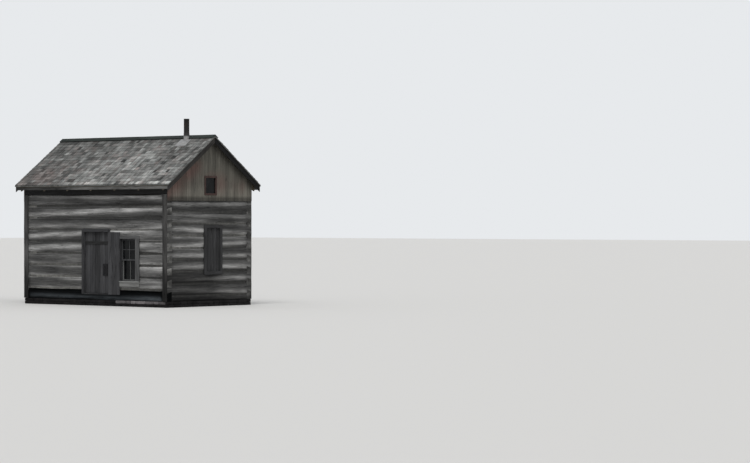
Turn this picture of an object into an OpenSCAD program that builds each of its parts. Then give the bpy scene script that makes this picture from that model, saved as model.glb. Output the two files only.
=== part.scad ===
// Hewn-log house with half-dovetail corners, a plank door and a shingled gable roof.
// X runs along the front wall, the front faces -Y and the boarded side window faces +X.
// The origin lies on the ground below the middle of the house. Sizes are in millimetres.

/* [House] */
// Length over the outer log faces of the two gable walls
house_l = 6000; // [5600:50:7000]
// Width over the outer log faces of the front and rear walls
house_w = 3500; // [3300:50:4200]

/* [Footing] */
// Height of the stone footing above the ground
footing_h = 170; // [120:5:260]
// Width of the footing, which also carries the ends of the floor joists
footing_w = 300; // [260:5:400]

/* [Logs] */
// Thickness of the hewn logs, and so of the walls
log_t = 180; // [150:5:220]
// Height from one log to the next
course = 345; // [335:1:355]
// Height of the chinked gap between two logs
chink_gap = 35; // [15:1:60]
// Chamfer left where the round of the log meets its hewn faces
log_edge = 30; // [10:1:40]
// How far the sloped top of a notched log head falls across the wall
notch_drop = 50; // [20:1:70]
// How far the chinking lies behind the hewn faces
chink_recess = 35; // [30:1:60]

/* [Roof] */
// Height of the timbers on the top logs that carry the rafters
plate_h = 280; // [240:5:340]
// Slope of the roof in degrees
roof_pitch = 36; // [34:0.5:37]
// How far the roof passes the front and rear walls
eave_over = 170; // [120:5:300]
// How far the roof passes the gable walls
rake_over = 200; // [120:5:300]
// Thickness of the shingle layer
shingle_t = 40; // [25:1:60]
// How far the shingles pass the boards below them
shingle_drip = 20; // [5:1:40]
// Thickness of the roof boards
roof_board_t = 25; // [18:1:35]
// Width of a rafter
rafter_b = 60; // [45:1:90]
// Depth of a rafter
rafter_d = 110; // [90:1:140]
// Width of the level seat that each rafter has on the wall plate
rafter_seat = 80; // [60:1:100]
// Thickness of the boards along the eaves
eave_board_t = 22; // [18:1:30]
// Height of the boards along the eaves
eave_board_h = 105; // [100:1:180]
// Thickness of the boards along the gable edges
rake_board_t = 25; // [18:1:35]
// Width of the boards along the gable edges
rake_board_w = 140; // [100:1:180]
// Width of the two boards on the ridge
ridge_board_w = 140; // [110:1:180]
// Thickness of the two boards on the ridge
ridge_board_t = 22; // [18:1:30]

/* [Gables] */
// Thickness of the upright boards that close the gables
gable_board_t = 25; // [18:1:35]
// How far the gable boards lap over the top log
gable_lap = 12; // [10:1:60]
// Width of the small window in the right gable, over its frame
attic_window_w = 460; // [360:10:560]
// Height of the small window in the right gable, over its frame
attic_window_h = 500; // [360:10:560]
// Height of its lower edge above the top log of the gable
attic_window_up = 180; // [150:5:240]
// Width of the trim round the small window outside its frame
attic_casing_lap = 30; // [15:1:45]
// Thickness of that trim
attic_casing_t = 18; // [12:1:25]

/* [Floors] */
// Thickness of the floor boards, downstairs and in the loft
floor_board_t = 30; // [20:1:40]
// Depth of the floor joists
floor_joist_d = 135; // [110:1:150]
// Width of the floor and loft joists
joist_b = 80; // [60:1:100]
// Depth of the loft joists
loft_joist_d = 140; // [110:1:160]
// How far the ends of the loft joists reach into the top logs
joist_bearing = 90; // [60:1:110]

/* [Doorway] */
// Place of the left side of the doorway along the front
door_x = -470; // [-600:10:-300]
// Width of the doorway between the log ends
door_w = 1120; // [950:10:1200]
// Thickness of the side frame boards of the doorway
jamb_t = 45; // [35:1:60]
// Thickness of the head board of the doorway
door_head_t = 90; // [60:1:110]
// Thickness of the threshold board
threshold_t = 20; // [15:1:25]
// How far the door leaf lies behind the hewn face of the logs
door_recess = 60; // [30:1:62]
// Thickness of the planks of the door leaf
leaf_t = 40; // [25:1:42]
// Thickness of the ledges across the inside of the leaf
ledge_t = 28; // [18:1:30]
// Gap round the leaf
leaf_gap = 8; // [7:0.5:12]
// Width of the cover boards beside the doorway
door_casing_w = 85; // [60:1:110]
// Thickness of the cover boards round the doorway and the front window
casing_t = 22; // [15:1:30]
// Width of the wooden latch box on the leaf
latch_w = 190; // [140:5:260]
// Height of the latch box
latch_h = 340; // [260:10:420]
// Height of the latch box above the lower end of the leaf
latch_up = 520; // [450:10:700]
// Distance of the latch box from the free edge of the leaf
latch_in = 85; // [40:5:140]

/* [Front window] */
// Place of the left side of the window opening along the front
window_x = 1040; // [1000:10:1200]
// Width of the window opening between the log ends
window_w = 720; // [600:10:800]
// Height of the bottom of the window opening above the ground
window_z = 700; // [690:5:760]
// Height of the window opening
window_h = 1300; // [1200:10:1300]
// Thickness of the window's frame boards
window_frame_t = 40; // [30:1:50]
// Width of the cover boards beside and above the window
window_casing_w = 160; // [80:1:180]
// How far the sill passes the hewn face
sill_nose = 50; // [35:1:80]
// Thickness of the sill at the wall
sill_t = 34; // [25:1:45]
// Height of the board below the sill
apron_h = 130; // [90:1:140]
// How far the upper sash lies behind the hewn face
sash_recess = 70; // [40:1:80]
// Thickness of a sash
sash_t = 35; // [28:1:38]
// Width of the sash stiles and rails
sash_b = 45; // [35:1:60]
// Width of the glazing bars
bar_b = 22; // [16:1:28]
// Thickness of the glass
glass_t = 4; // [3:0.5:6]

/* [Side window] */
// Place of the front side of the boarded opening across the right gable wall
side_window_y = -190; // [-300:10:-100]
// Width of the boarded opening between the log ends
side_window_w = 640; // [500:10:720]
// Height of the bottom of the boarded opening above the ground
side_window_z = 980; // [940:5:1020]
// Height of the boarded opening
side_window_h = 1320; // [1240:10:1360]
// Thickness of its frame boards
side_frame_t = 35; // [25:1:45]
// How far its cover boards lap over the logs
side_casing_lap = 60; // [40:1:90]
// Thickness of the boards that close it
side_board_t = 22; // [15:1:30]
// How far those boards lie behind the hewn face
side_board_recess = 30; // [10:1:60]

/* [Corner boards] */
// Width of the boards that cover the log ends on the front and the rear
corner_board_w = 180; // [120:5:240]
// Thickness of those boards
corner_board_t = 28; // [18:1:35]

/* [Stovepipe] */
// Distance of the stovepipe from the boarded gable
pipe_in = 820; // [700:10:1300]
// Distance of the stovepipe in front of the ridge
pipe_y = 125; // [115:1:160]
// Outer diameter of the stovepipe
pipe_d = 165; // [120:1:180]
// Wall of the stovepipe
pipe_wall = 3; // [2:0.5:5]
// Height of the top of the stovepipe above the ridge
pipe_up = 500; // [350:10:900]
// Clearance between the stovepipe and the wood round it
pipe_clear = 25; // [15:1:40]
// Height of the metal collar above the roof at the back of the pipe
collar_h = 90; // [60:1:140]
// Width of the metal sheet on the shingles round the pipe
flashing_w = 430; // [340:10:560]
// Length of the metal sheet down the slope
flashing_l = 330; // [260:10:420]

/* [Hidden] */
$fn = 48;

// Gap left where one flat piece drops into another
fit = 1;
// Gap round pieces that are only close to each other
tiny = 0.3;
// Gap between two sloped layers that lie on each other
layer_gap = 0.05;
// Length by which a cutter passes what it cuts
over = 5;

half_l = house_l / 2;
half_w = house_w / 2;
log_h = course - chink_gap;
front_courses = 9;
gable_courses = 8;
// Number of the first front log that passes over the doorway
lintel_log = 6;
inner_x = half_l - log_t;
inner_y = half_w - log_t;
front_top = front_z(front_courses - 1) + log_h;
gable_top = gable_z(gable_courses - 1) + log_h;

slope_run = cos(roof_pitch);
rise = tan(roof_pitch);
edge_y = half_w + eave_over;
edge_x = half_l + rake_over;
tail_y = edge_y - eave_board_t;
plate_top = front_top + plate_h;
ridge_h = shingle_top(0);

floor_z = footing_h + floor_joist_d + floor_board_t;
door_z = floor_z;
door_top = front_z(lintel_log);
clear_x0 = door_x + jamb_t;
clear_x1 = door_x + door_w - jamb_t;
clear_z0 = door_z + threshold_t;
clear_z1 = door_top - door_head_t;
leaf_w = clear_x1 - clear_x0 - 2 * leaf_gap;
leaf_z0 = clear_z0 + leaf_gap;
leaf_h = clear_z1 - leaf_gap - leaf_z0;
leaf_y = -half_w + door_recess;

strap_t = 5;
strap_h = 40;
strap_l = 620;
pin_d = 12;
eye_d = 22;
// Distance of the pins from the side frame board
hinge_reach = 16;
// Distance of the straps from the lower and upper end of the leaf
hinge_inset = 285;
hinge_x = clear_x0 + hinge_reach;
hinge_y = leaf_y + leaf_t + ledge_t + strap_t / 2;
hinge_heights = [leaf_z0 + hinge_inset, leaf_z0 + leaf_h - hinge_inset];
ledge_h = 130;

attic_frame_t = 26;
attic_window_z = gable_top + attic_window_up;
sash_w = window_w - 2 * window_frame_t - 2 * fit;
sash_h = (window_h - 2 * window_frame_t + sash_b) / 2;
sash_x = window_x + window_frame_t + fit;
sash_z = window_z + window_frame_t;
bar_d = 16;

window_x0 = window_x + window_frame_t;
window_x1 = window_x + window_w - window_frame_t;
window_z0 = window_z + window_frame_t;
window_z1 = window_z + window_h - window_frame_t;

pipe_x = half_l - pipe_in;
pipe_top = ridge_h + pipe_up;
// How far the stovepipe reaches below the rafters
pipe_below = 250;

rafter_pairs = 7;
rafter_step = (house_l - rafter_b) / (rafter_pairs - 1);
joist_count = 6;
joist_step = 2 * (inner_x - joist_b) / (joist_count - 1);
stud_b = 50;

// Underside of log number k of the front and rear walls
function front_z(k) = footing_h + k * course;
// Underside of log number k of the gable walls, half a course higher
function gable_z(k) = footing_h + (k + 0.5) * course;
// Heights of the roof layers at a distance y from the ridge, built up from the wall plates
function rafter_low(y) = plate_top + rise * (half_w - rafter_seat - y);
function rafter_top(y) = rafter_low(y) + rafter_d / slope_run;
function board_low(y) = rafter_top(y) + layer_gap;
function board_top(y) = board_low(y) + roof_board_t / slope_run;
function shingle_low(y) = board_top(y) + layer_gap;
function shingle_top(y) = shingle_low(y) + shingle_t / slope_run;

// A box between two opposite corners
module block(low, high) {
    translate(low)
        cube(high - low);
}

// A flat shape drawn in Y and Z, drawn out along X from x0 to x1
module across(x0, x1, points) {
    translate([x0, 0, 0])
        rotate([90, 0, 90])
            linear_extrude(x1 - x0)
                polygon(points);
}

// A flat shape drawn in X and Z, drawn out along Y from y0 to y1
module along(y0, y1, points) {
    translate([0, y1, 0])
        rotate([90, 0, 0])
            linear_extrude(y1 - y0)
                polygon(points);
}

// A plain hewn log along X with its outer face at -Y: flat faces and chamfered edges
module hewn_log(length) {
    t = log_t / 2;
    c = log_edge;
    across(-length / 2, length / 2, [
        [-t, c], [-t + c, 0], [t - c, 0], [t, c],
        [t, log_h - c], [t - c, log_h], [-t + c, log_h], [-t, log_h - c]
    ]);
}

// Cuts the half-dovetail head at the +X end of a log of the given length
module head_cut(length, notch_below, slope_above) {
    tip = length / 2;
    fall = notch_drop / 2;
    // the notch below the head falls towards the tip of the log
    if (notch_below)
        along(-log_t, log_t, [
            [tip - log_t, -over], [tip - log_t, course / 4 + fall],
            [tip, course / 4 - fall], [tip + over, course / 4 - fall], [tip + over, -over]
        ]);
    // the top of the head falls towards the outer face of the wall
    if (slope_above)
        across(tip - log_t, tip + over, [
            [-log_t / 2 - over, 3 * course / 4 - fall], [-log_t / 2, 3 * course / 4 - fall],
            [log_t / 2, 3 * course / 4 + fall], [log_t / 2 + over, 3 * course / 4 + fall],
            [log_t / 2 + over, course], [-log_t / 2 - over, course]
        ]);
}

// A log with a half-dovetail head at each end
module notched_log(length, notch_below = true, slope_above = true) {
    difference() {
        hewn_log(length);
        head_cut(length, notch_below, slope_above);
        mirror([1, 0, 0])
            head_cut(length, notch_below, slope_above);
    }
}

// Log number k of the front wall
module front_log(k) {
    translate([0, -half_w + log_t / 2, front_z(k)])
        notched_log(house_l, k > 0, k < front_courses - 1);
}

// Log number k of the right gable wall
module gable_log(k) {
    translate([half_l - log_t / 2, 0, gable_z(k)])
        rotate(90)
            notched_log(house_w);
}

// The part of what it is given between x0 and x1
module between(x0, x1) {
    intersection() {
        children();
        block([x0, -house_w, 0], [x1, house_w, ridge_h]);
    }
}

module doorway_cut() {
    block([door_x, -half_w - over, door_z], [door_x + door_w, -inner_y + over, door_top]);
}

module window_cut() {
    block([window_x, -half_w - over, window_z],
          [window_x + window_w, -inner_y + over, window_z + window_h]);
}

module side_window_cut() {
    block([inner_x - over, side_window_y, side_window_z],
          [half_l + over, side_window_y + side_window_w, side_window_z + side_window_h]);
}

// Pockets in the top log for the ends of the loft joists
module joist_pockets() {
    for (i = [0 : joist_count - 1])
        translate([joist_x(i), 0, 0])
            block([-joist_b / 2 - fit, -inner_y - joist_bearing - fit, front_top - loft_joist_d],
                  [joist_b / 2 + fit, -inner_y + over, front_top + over]);
}

function joist_x(i) = -inner_x + joist_b + i * joist_step;

module footing() {
    color("dimgray")
        difference() {
            block([-half_l, -half_w, 0], [half_l, half_w, footing_h]);
            block([-half_l + footing_w, -half_w + footing_w, -over],
                  [half_l - footing_w, half_w - footing_w, footing_h + over]);
        }
}

module front_sill_log() {
    color("slategray")
        difference() {
            front_log(0);
            doorway_cut();
        }
}

module front_logs_left() {
    color("gray")
        for (k = [1 : lintel_log - 1])
            between(-house_l, door_x)
                front_log(k);
}

// Short logs between the doorway and the window
module front_logs_middle() {
    color("gray")
        for (k = [2 : lintel_log - 2])
            between(door_x + door_w, window_x)
                front_log(k);
}

// The logs below and above the window run on to the doorway
module front_logs_right() {
    color("gray")
        for (k = [1 : lintel_log - 1])
            difference() {
                between(k == 1 || k == lintel_log - 1 ? door_x + door_w : window_x + window_w, house_l)
                    front_log(k);
                window_cut();
            }
}

module front_logs_top() {
    color("gray")
        for (k = [lintel_log : front_courses - 1])
            difference() {
                front_log(k);
                if (k == front_courses - 1)
                    joist_pockets();
            }
}

module rear_logs() {
    color("gray")
        rotate(180)
            for (k = [0 : front_courses - 1])
                difference() {
                    front_log(k);
                    if (k == front_courses - 1)
                        joist_pockets();
                }
}

// Half log that starts a gable wall between the sill logs
module half_log() {
    block([inner_x, -inner_y, footing_h], [half_l, inner_y, footing_h + course / 2 - chink_gap]);
}

module right_gable_logs() {
    color("gray") {
        half_log();
        for (k = [0 : gable_courses - 1])
            difference() {
                gable_log(k);
                side_window_cut();
            }
    }
}

module left_gable_logs() {
    color("gray")
        rotate(180) {
            half_log();
            for (k = [0 : gable_courses - 1])
                gable_log(k);
        }
}

// Chinking of one long wall
module wall_chinking() {
    for (k = [0 : front_courses - 2])
        block([-inner_x, -half_w + chink_recess, front_z(k) + log_h],
              [inner_x, -inner_y - chink_recess, front_z(k + 1)]);
}

// Chinking of one gable wall
module end_chinking() {
    for (k = [-1 : gable_courses - 2])
        block([inner_x + chink_recess, -inner_y, gable_z(k) + log_h],
              [half_l - chink_recess, inner_y, gable_z(k + 1)]);
}

module front_chinking() {
    color("darkgray")
        difference() {
            wall_chinking();
            doorway_cut();
            window_cut();
        }
}

module rear_chinking() {
    color("darkgray")
        rotate(180)
            wall_chinking();
}

module gable_chinking() {
    color("darkgray") {
        difference() {
            end_chinking();
            side_window_cut();
        }
        rotate(180)
            end_chinking();
    }
}

// Timbers on the top logs that carry the rafters
module wall_plates() {
    color("dimgray")
        for (side = [-1, 1])
            mirror([0, side < 0 ? 1 : 0, 0])
                block([-half_l, inner_y, front_top], [half_l, half_w, plate_top]);
}

// Boards that cover the log ends on the long walls
module corner_boards() {
    color("darkslategray")
        for (turn = [0, 180], side = [-1, 1])
            rotate(turn)
                translate([side * (half_l - corner_board_w / 2), 0, 0])
                    block([-corner_board_w / 2, -half_w - corner_board_t, footing_h],
                          [corner_board_w / 2, -half_w, front_top]);
}

module floor_joists() {
    color("peru")
        for (i = [0 : joist_count - 1])
            translate([joist_x(i), 0, footing_h])
                block([-joist_b / 2, -inner_y + fit, 0], [joist_b / 2, inner_y - fit, floor_joist_d]);
}

module floor_boards() {
    color("tan")
        block([-inner_x + fit, -inner_y + fit, floor_z - floor_board_t],
              [inner_x - fit, inner_y - fit, floor_z]);
}

module loft_joists() {
    color("peru")
        for (i = [0 : joist_count - 1])
            translate([joist_x(i), 0, front_top - loft_joist_d])
                block([-joist_b / 2, -inner_y - joist_bearing, 0],
                      [joist_b / 2, inner_y + joist_bearing, loft_joist_d]);
}

module loft_boards() {
    color("tan")
        block([-inner_x + fit, -inner_y + fit, front_top],
              [inner_x - fit, inner_y - fit, front_top + floor_board_t]);
}

// One side of the rafters, with a level seat on the wall plate and an upright tail cut
module rafters() {
    for (i = [0 : rafter_pairs - 1])
        translate([-half_l + rafter_b / 2 + i * rafter_step, 0, 0])
            across(-rafter_b / 2, rafter_b / 2, [
                [0, rafter_top(0)], [0, rafter_low(0)],
                [half_w - rafter_seat, plate_top], [half_w, plate_top], [half_w, rafter_low(half_w)],
                [tail_y, rafter_low(tail_y)], [tail_y, rafter_top(tail_y)]
            ]);
}

module rear_rafters() {
    color("sienna")
        rafters();
}

module front_rafters() {
    color("sienna")
        rotate(180)
            rafters();
}

// Vertical hole for the stovepipe through the roof layers, wide enough to keep wood off the pipe
module pipe_hole(gap) {
    translate([pipe_x, -pipe_y, rafter_low(pipe_y) - pipe_d])
        cylinder(d = pipe_d + 2 * gap, h = pipe_top);
}

// One layer of the rear slope between two of the roof's height functions
module rear_roof_boards() {
    color("burlywood")
        across(-edge_x + rake_board_t, edge_x - rake_board_t, [
            [0, board_top(0)], [0, board_low(0)], [edge_y, board_low(edge_y)], [edge_y, board_top(edge_y)]
        ]);
}

module front_roof_boards() {
    color("burlywood")
        difference() {
            rotate(180)
                rear_roof_boards();
            pipe_hole(pipe_clear);
        }
}

module rear_shingles() {
    low_y = edge_y + shingle_drip;
    color("silver")
        across(-edge_x - shingle_drip, edge_x + shingle_drip, [
            [0, shingle_top(0)], [0, shingle_low(0)], [low_y, shingle_low(low_y)],
            [low_y, shingle_top(low_y)]
        ]);
}

module front_shingles() {
    color("silver")
        difference() {
            rotate(180)
                rear_shingles();
            pipe_hole(pipe_clear);
        }
}

// One ridge board, lying on the shingles beside the ridge
module ridge_board() {
    rise_t = ridge_board_t / slope_run;
    low_y = ridge_board_w * slope_run;
    out_y = low_y + ridge_board_t * sin(roof_pitch);
    translate([0, 0, layer_gap])
        across(-edge_x - shingle_drip, edge_x + shingle_drip, [
            [tiny, shingle_top(tiny)], [low_y, shingle_top(low_y)],
            [out_y, shingle_top(out_y) + rise_t], [tiny, shingle_top(tiny) + rise_t]
        ]);
}

module ridge_boards() {
    color("dimgray") {
        ridge_board();
        difference() {
            rotate(180)
                ridge_board();
            pipe_hole(pipe_wall + 2);
        }
    }
}

// Boards that follow both slopes at the gable edges
module rake_boards() {
    depth = rake_board_w / slope_run;
    color("dimgray")
        for (turn = [0, 180], side = [-1, 1])
            rotate(turn)
                mirror([side < 0 ? 1 : 0, 0, 0])
                    across(edge_x - rake_board_t, edge_x, [
                        [tiny, board_top(tiny)], [tiny, board_top(tiny) - depth],
                        [edge_y, board_top(edge_y) - depth], [edge_y, board_top(edge_y)]
                    ]);
}

// Upright boards on the rafter tails along both eaves
module eave_boards() {
    low = rafter_top(tail_y) - eave_board_h;
    color("gray")
        for (turn = [0, 180])
            rotate(turn)
                across(-edge_x + rake_board_t, edge_x - rake_board_t, [
                    [tail_y, low], [edge_y, low], [edge_y, rafter_top(edge_y)], [tail_y, rafter_top(tail_y)]
                ]);
}

// The boarded triangle that closes a gable, from the top log to the roof boards
module gable_boards() {
    low = gable_top - gable_lap;
    across(half_l, half_l + gable_board_t, [
        [-half_w, low], [half_w, low], [half_w, rafter_top(half_w)],
        [0, rafter_top(0)], [-half_w, rafter_top(half_w)]
    ]);
}

module attic_window_cut() {
    block([half_l - over, -attic_window_w / 2, attic_window_z],
          [half_l + 2 * gable_board_t, attic_window_w / 2, attic_window_z + attic_window_h]);
}

module right_gable_boards() {
    color("rosybrown")
        difference() {
            gable_boards();
            attic_window_cut();
        }
}

module left_gable_boards() {
    color("rosybrown")
        rotate(180)
            gable_boards();
}

// Studs from the top log of each gable wall to its end rafters
module gable_studs() {
    color("sienna")
        for (turn = [0, 180], side = [-1, 1], y = [attic_window_w / 2, half_w / 2])
            rotate(turn)
                mirror([0, side < 0 ? 1 : 0, 0])
                    across(half_l - rafter_b, half_l, [
                        [y, gable_top], [y + stud_b, gable_top],
                        [y + stud_b, rafter_low(y + stud_b) - layer_gap],
                        [y, rafter_low(y) - layer_gap]
                    ]);
}

// Frame of the small gable window with a cover board round it
module attic_window_frame() {
    y = attic_window_w / 2;
    z0 = attic_window_z;
    z1 = attic_window_z + attic_window_h;
    lap = attic_casing_lap;
    color("indianred")
        difference() {
            union() {
                block([half_l - rafter_b, -y, z0], [half_l + gable_board_t, y, z1]);
                block([half_l + gable_board_t, -y - lap, z0 - lap],
                      [half_l + gable_board_t + attic_casing_t, y + lap, z1 + lap]);
            }
            block([half_l - rafter_b - over, -y + attic_frame_t, z0 + attic_frame_t],
                  [half_l + 2 * gable_board_t, y - attic_frame_t, z1 - attic_frame_t]);
        }
}

module attic_window_glass() {
    color("black")
        block([half_l, -attic_window_w / 2 + attic_frame_t, attic_window_z + attic_frame_t],
              [half_l + glass_t, attic_window_w / 2 - attic_frame_t,
               attic_window_z + attic_window_h - attic_frame_t]);
}

// Frame boards of the doorway with its threshold
module door_frame() {
    color("dimgray")
        difference() {
            block([door_x, -half_w, door_z], [door_x + door_w, -inner_y, door_top]);
            block([clear_x0, -half_w - over, clear_z0], [clear_x1, -inner_y + over, clear_z1]);
        }
}

// Cover boards on the left of the doorway and over it
module door_casing() {
    color("dimgray")
        difference() {
            block([clear_x0 - door_casing_w, -half_w - casing_t, door_z],
                  [clear_x1, -half_w, clear_z1 + door_casing_w]);
            block([clear_x0, -half_w - 2 * casing_t, door_z - over],
                  [clear_x1 + over, -half_w + over, clear_z1]);
        }
}

// Upright boards that cover the wall between the doorway and the window
module panel_boards() {
    color("darkslategray")
        block([clear_x1, -half_w - casing_t, door_z],
              [window_x + window_frame_t, -half_w, clear_z1]);
}

module window_frame() {
    color("dimgray")
        difference() {
            block([window_x, -half_w, window_z],
                  [window_x + window_w, -inner_y, window_z + window_h]);
            block([window_x0, -half_w - over, window_z0], [window_x1, -inner_y + over, window_z1]);
        }
}

// Cover boards on the right of the front window and over it, standing on the sill
module window_casing() {
    color("darkgray")
        difference() {
            block([window_x0, -half_w - casing_t, window_z0],
                  [window_x1 + window_casing_w, -half_w, window_z1 + door_casing_w]);
            block([window_x0 - over, -half_w - 2 * casing_t, window_z0 - over],
                  [window_x1, -half_w + over, window_z1]);
        }
}

// Sloping sill with the board below it
module window_sill() {
    fall = sill_t / 4;
    color("darkgray")
        across(window_x0, window_x1 + window_casing_w, [
            [-half_w, window_z0], [-half_w - casing_t, window_z0],
            [-half_w - sill_nose, window_z0 - fall], [-half_w - sill_nose, window_z0 - sill_t],
            [-half_w - casing_t, window_z0 - sill_t],
            [-half_w - casing_t, window_z0 - sill_t - apron_h], [-half_w, window_z0 - sill_t - apron_h]
        ]);
}

// A sash with glazing bars in front of its glass, columns wide and rows high
module sash(columns, rows) {
    light_w = sash_w - 2 * sash_b;
    light_h = sash_h - 2 * sash_b;
    difference() {
        block([0, 0, 0], [sash_w, sash_t, sash_h]);
        translate([sash_b, -over, sash_b])
            cube([light_w, sash_t + 2 * over, light_h]);
    }
    if (columns > 1)
        for (i = [1 : columns - 1])
            translate([sash_b + i * light_w / columns - bar_b / 2, 0, sash_b])
                cube([bar_b, bar_d, light_h]);
    if (rows > 1)
        for (i = [1 : rows - 1])
            translate([sash_b, 0, sash_b + i * light_h / rows - bar_b / 2])
                cube([light_w, bar_d, bar_b]);
}

module pane() {
    translate([sash_b, bar_d, sash_b])
        cube([sash_w - 2 * sash_b, glass_t, sash_h - 2 * sash_b]);
}

module at_upper_sash() {
    translate([sash_x, -half_w + sash_recess, sash_z + sash_h - sash_b])
        children();
}

module at_lower_sash() {
    translate([sash_x, -half_w + sash_recess + sash_t + tiny, sash_z])
        children();
}

module window_upper_sash() {
    color("gray")
        at_upper_sash()
            sash(2, 2);
}

module window_lower_sash() {
    color("gray")
        at_lower_sash()
            sash(2, 1);
}

module window_glass() {
    color("black") {
        at_upper_sash()
            pane();
        at_lower_sash()
            pane();
    }
}

// Frame of the boarded opening, with cover boards on the logs
module side_window_frame() {
    y0 = side_window_y;
    y1 = side_window_y + side_window_w;
    z0 = side_window_z;
    z1 = side_window_z + side_window_h;
    color("dimgray")
        difference() {
            union() {
                block([inner_x, y0, z0], [half_l, y1, z1]);
                block([half_l, y0 - side_casing_lap, z0 - side_casing_lap],
                      [half_l + casing_t, y1 + side_casing_lap, z1 + side_casing_lap]);
            }
            block([inner_x - over, y0 + side_frame_t, z0 + side_frame_t],
                  [half_l + 2 * casing_t, y1 - side_frame_t, z1 - side_frame_t]);
        }
}

module side_window_boards() {
    color("darkslategray")
        block([half_l - side_board_recess - side_board_t, side_window_y + side_frame_t + tiny,
               side_window_z + side_frame_t],
              [half_l - side_board_recess, side_window_y + side_window_w - side_frame_t - tiny,
               side_window_z + side_window_h - side_frame_t]);
}

module stove_pipe() {
    low = rafter_low(pipe_y) - pipe_below;
    color("black")
        translate([pipe_x, -pipe_y, low])
            difference() {
                cylinder(d = pipe_d, h = pipe_top - low);
                translate([0, 0, -over])
                    cylinder(d = pipe_d - 2 * pipe_wall, h = pipe_top - low + 2 * over);
            }
}

// Metal sheet on the shingles in front of the ridge board, with a collar round the pipe
module pipe_flashing() {
    sheet_t = 3;
    y0 = ridge_board_w * slope_run + ridge_board_t;
    y1 = y0 + flashing_l * slope_run;
    color("lightgray")
        difference() {
            union() {
                rotate(180)
                    across(-pipe_x - flashing_w / 2, -pipe_x + flashing_w / 2, [
                        [y0, shingle_top(y0) + layer_gap], [y1, shingle_top(y1) + layer_gap],
                        [y1, shingle_top(y1) + sheet_t / slope_run],
                        [y0, shingle_top(y0) + sheet_t / slope_run]
                    ]);
                difference() {
                    translate([pipe_x, -pipe_y, shingle_top(pipe_y) - pipe_d])
                        cylinder(d = pipe_d + 2 * pipe_wall, h = pipe_d + pipe_d / 2 + collar_h);
                    rotate(180)
                        across(-pipe_x - pipe_d, -pipe_x + pipe_d, [
                            [-pipe_d, shingle_top(-pipe_d)], [3 * pipe_d, shingle_top(3 * pipe_d)],
                            [3 * pipe_d, 0], [-pipe_d, 0]
                        ]);
                }
            }
            pipe_hole(tiny);
        }
}

// The leaf: planks as one panel, with two ledges across the inside
module door_leaf() {
    x0 = clear_x0 + leaf_gap;
    color("dimgray") {
        block([x0, leaf_y, leaf_z0], [x0 + leaf_w, leaf_y + leaf_t, leaf_z0 + leaf_h]);
        for (z = hinge_heights)
            block([x0 + jamb_t, leaf_y + leaf_t, z - ledge_h / 2],
                  [x0 + leaf_w - jamb_t, leaf_y + leaf_t + ledge_t, z + ledge_h / 2]);
    }
}

// Iron straps on the ledges, each with an eye round its pin
module door_straps() {
    color("black")
        for (z = hinge_heights)
            translate([hinge_x, hinge_y, z])
                difference() {
                    union() {
                        cylinder(d = eye_d, h = strap_h, center = true);
                        block([0, -strap_t / 2, -strap_h / 2], [strap_l, strap_t / 2, strap_h / 2]);
                    }
                    cylinder(d = pin_d + 2 * tiny, h = 2 * strap_h, center = true);
                }
}

// Iron pins on plates at the left frame board
module door_pintles() {
    plate_t = 4;
    lug_h = 8;
    lug_gap = 1;
    color("black")
        for (z = hinge_heights)
            translate([hinge_x, hinge_y, z]) {
                cylinder(d = pin_d, h = strap_h + 2 * (lug_h + lug_gap), center = true);
                block([-hinge_reach, -eye_d / 2, -strap_h], [-hinge_reach + plate_t, eye_d, strap_h]);
                for (side = [-1, 1])
                    translate([0, 0, side * (strap_h / 2 + lug_gap + lug_h / 2)])
                        block([-hinge_reach, -pin_d / 2, -lug_h / 2], [0, pin_d / 2, lug_h / 2]);
            }
}

// Wooden latch box on the outside of the leaf, with an upright pull
module door_latch() {
    box_t = 18;
    pull_d = 12;
    pull_out = 22;
    pull_inset = 70;
    x1 = clear_x1 - leaf_gap - latch_in;
    x_pull = x1 - latch_w / 2;
    z0 = leaf_z0 + latch_up;
    z1 = z0 + latch_h;
    front_y = leaf_y - box_t;
    color("black") {
        block([x1 - latch_w, front_y, z0], [x1, leaf_y, z1]);
        for (z = [z0 + pull_inset, z1 - pull_inset])
            translate([x_pull, front_y, z])
                rotate([90, 0, 0])
                    cylinder(d = pull_d, h = pull_out);
        translate([x_pull, front_y - pull_out, z0 + pull_inset - pull_d])
            cylinder(d = pull_d, h = latch_h - 2 * pull_inset + 2 * pull_d);
    }
}

footing();
front_sill_log();
front_logs_left();
front_logs_middle();
front_logs_right();
front_logs_top();
rear_logs();
right_gable_logs();
left_gable_logs();
front_chinking();
rear_chinking();
gable_chinking();
wall_plates();
corner_boards();
floor_joists();
floor_boards();
loft_joists();
loft_boards();
front_rafters();
rear_rafters();
front_roof_boards();
rear_roof_boards();
front_shingles();
rear_shingles();
ridge_boards();
rake_boards();
eave_boards();
right_gable_boards();
left_gable_boards();
gable_studs();
attic_window_frame();
attic_window_glass();
door_frame();
door_casing();
panel_boards();
window_frame();
window_casing();
window_sill();
window_upper_sash();
window_lower_sash();
window_glass();
side_window_frame();
side_window_boards();
stove_pipe();
pipe_flashing();
door_leaf();
door_straps();
door_pintles();
door_latch();
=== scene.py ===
import math
import random

import bmesh
import bpy
from mathutils import Matrix, Vector, noise


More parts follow.
